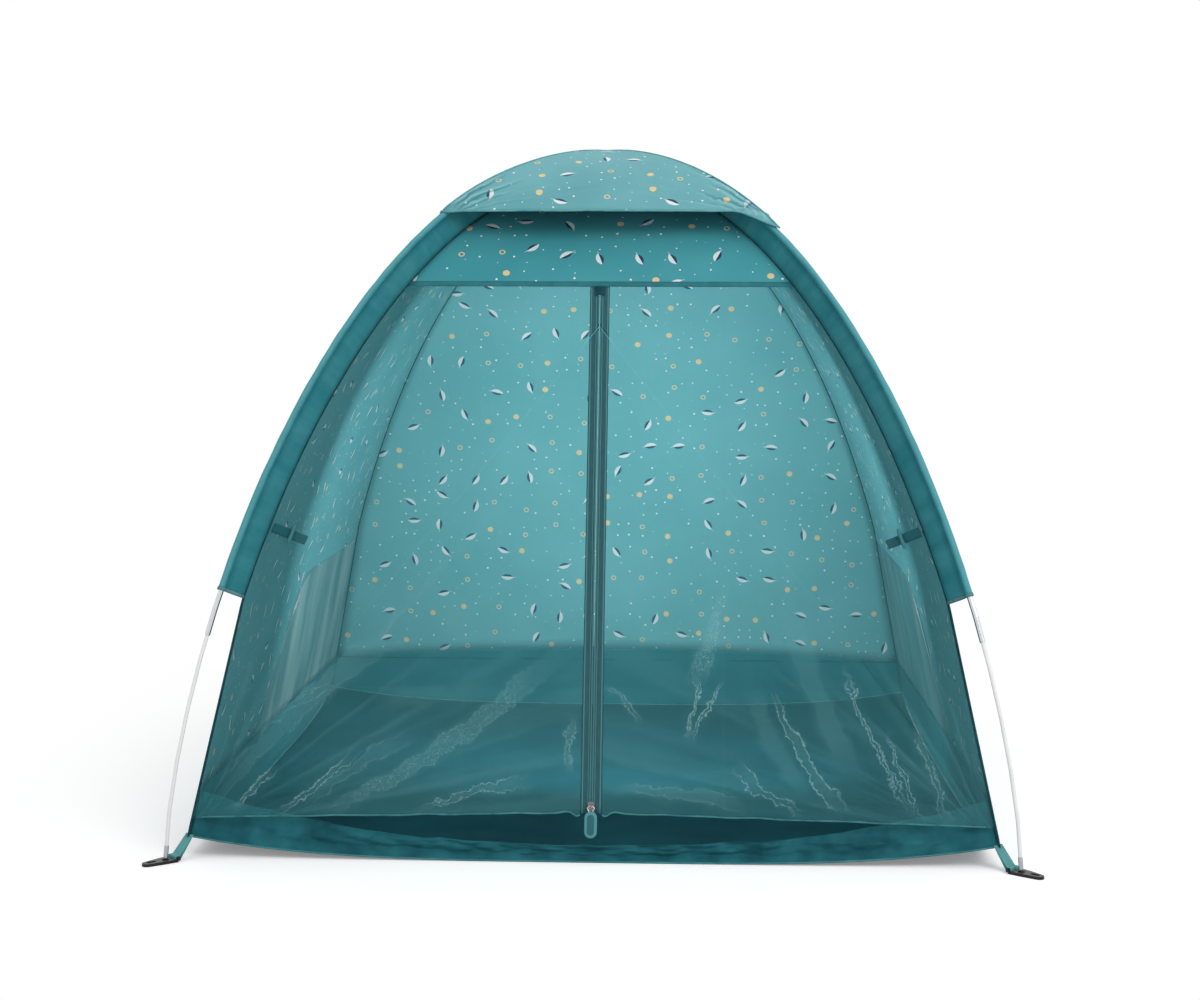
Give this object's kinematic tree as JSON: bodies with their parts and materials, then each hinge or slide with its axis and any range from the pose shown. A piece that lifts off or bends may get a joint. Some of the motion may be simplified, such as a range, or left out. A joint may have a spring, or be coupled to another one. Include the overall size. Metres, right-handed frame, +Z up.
{
  "type": "mosquito net tent",
  "caption": "Square dome tent on crossing poles with a net front closed by an upright zip, printed walls and cap, and a bathtub floor.",
  "frame": {"origin": "on the ground at the centre of the floor, under the crossing of the poles", "axes": "+Z up; the net front with the zip faces -Y; +X is on the right of someone who looks at the front"},
  "size_m": [1.34, 1.34, 1.1182],
  "materials": {
    "sleeve_cloth": "matt dark teal woven polyester",
    "tub_cloth": "dark teal coated floor cloth, slight sheen",
    "printed_cloth": "teal woven polyester with a small all-over print",
    "net_cloth": "fine see-through teal mesh",
    "webbing": "ribbed light teal webbing",
    "zip_tape": "matt teal zip tape",
    "zip_coil": "dark teal nylon coil",
    "slider_metal": "plated metal with a slight rose tint",
    "pull_rubber": "soft teal moulding",
    "plate_plastic": "black moulded plastic, semi-gloss",
    "pole_fibreglass": "white fibreglass, smooth",
    "pole_steel": "bright steel",
    "shock_cord": "white elastic cord"
  },
  "bodies": {
    "tent": {"anchor_plate_front_left": "plate_plastic", "anchor_plate_front_right": "plate_plastic", "anchor_plate_rear_left": "plate_plastic", "anchor_plate_rear_right": "plate_plastic", "corner_strap_front_left": "webbing", "corner_strap_front_right": "webbing", "corner_strap_rear_left": "webbing", "corner_strap_rear_right": "webbing", "crown_patch": "printed_cloth", "front_header": "printed_cloth", "ground_sheet": "tub_cloth", "pole_a_arch_sections": "pole_fibreglass", "pole_a_front_ferrule": "pole_steel", "pole_a_front_section": "pole_fibreglass", "pole_a_rear_ferrule": "pole_steel", "pole_a_rear_section": "pole_fibreglass", "pole_a_shock_cord": "shock_cord", "pole_b_arch_sections": "pole_fibreglass", "pole_b_front_ferrule": "pole_steel", "pole_b_front_section": "pole_fibreglass", "pole_b_rear_ferrule": "pole_steel", "pole_b_rear_section": "pole_fibreglass", "pole_b_shock_cord": "shock_cord", "pole_sleeve_front_left": "sleeve_cloth", "pole_sleeve_front_right": "sleeve_cloth", "pole_sleeve_rear_left": "sleeve_cloth", "pole_sleeve_rear_right": "sleeve_cloth", "pole_tip_front_left": "pole_steel", "pole_tip_front_right": "pole_steel", "pole_tip_rear_left": "pole_steel", "pole_tip_rear_right": "pole_steel", "roof_cap": "printed_cloth", "side_net_left": "net_cloth", "side_net_right": "net_cloth", "tie_loop_left": "sleeve_cloth", "tie_loop_right": "sleeve_cloth", "tub_wall_front": "tub_cloth", "tub_wall_left": "tub_cloth", "tub_wall_rear": "tub_cloth", "tub_wall_right": "tub_cloth", "wall_left": "printed_cloth", "wall_rear": "printed_cloth", "wall_right": "printed_cloth", "window_net_left": "net_cloth", "window_net_right": "net_cloth", "zip_head": "zip_tape"},
    "door_left": {"door_net_left": "net_cloth", "zip_tape_left": "zip_tape", "zip_coil_left": "zip_coil"},
    "door_right": {"door_net_right": "net_cloth", "zip_tape_right": "zip_tape", "zip_coil_right": "zip_coil"},
    "slider": {"zip_slider": "slider_metal"},
    "pull": {"pull_link": "slider_metal", "pull_tab": "pull_rubber"},
    "tie_left": {"tie_strap_left": "webbing", "tie_toggle_left": "webbing"},
    "tie_right": {"tie_strap_right": "webbing", "tie_toggle_right": "webbing"}
  },
  "joints": [
    {"name": "door_left_fold", "type": "hinge", "parent": "tent", "child": "door_left", "pos_m": [-0.60318, -0.60932, 0.06037], "axis": [-0.6047, -0.2716, -0.7487], "range_deg": [0, 120]},
    {"name": "door_right_fold", "type": "hinge", "parent": "tent", "child": "door_right", "pos_m": [0.60318, -0.60932, 0.06037], "axis": [-0.6047, 0.2716, 0.7487], "range_deg": [0, 120]},
    {"name": "zip_slide", "type": "slide", "parent": "tent", "child": "slider", "axis": [0, 0.3411, 0.94], "range_m": [0, 0.816]},
    {"name": "pull_swing", "type": "hinge", "parent": "slider", "child": "pull", "pos_m": [0, -0.60614, 0.08528], "axis": [-1, 0, 0], "range_deg": [0, 150]},
    {"name": "tie_left_swing", "type": "hinge", "parent": "tent", "child": "tie_left", "pos_m": [-0.50066, -0.50455, 0.49511], "axis": [-0.3105, -0.3093, -0.8988], "range_deg": [0, 100]},
    {"name": "tie_right_swing", "type": "hinge", "parent": "tent", "child": "tie_right", "pos_m": [0.50066, -0.50455, 0.49511], "axis": [-0.3105, 0.3093, 0.8988], "range_deg": [0, 100]}
  ]
}
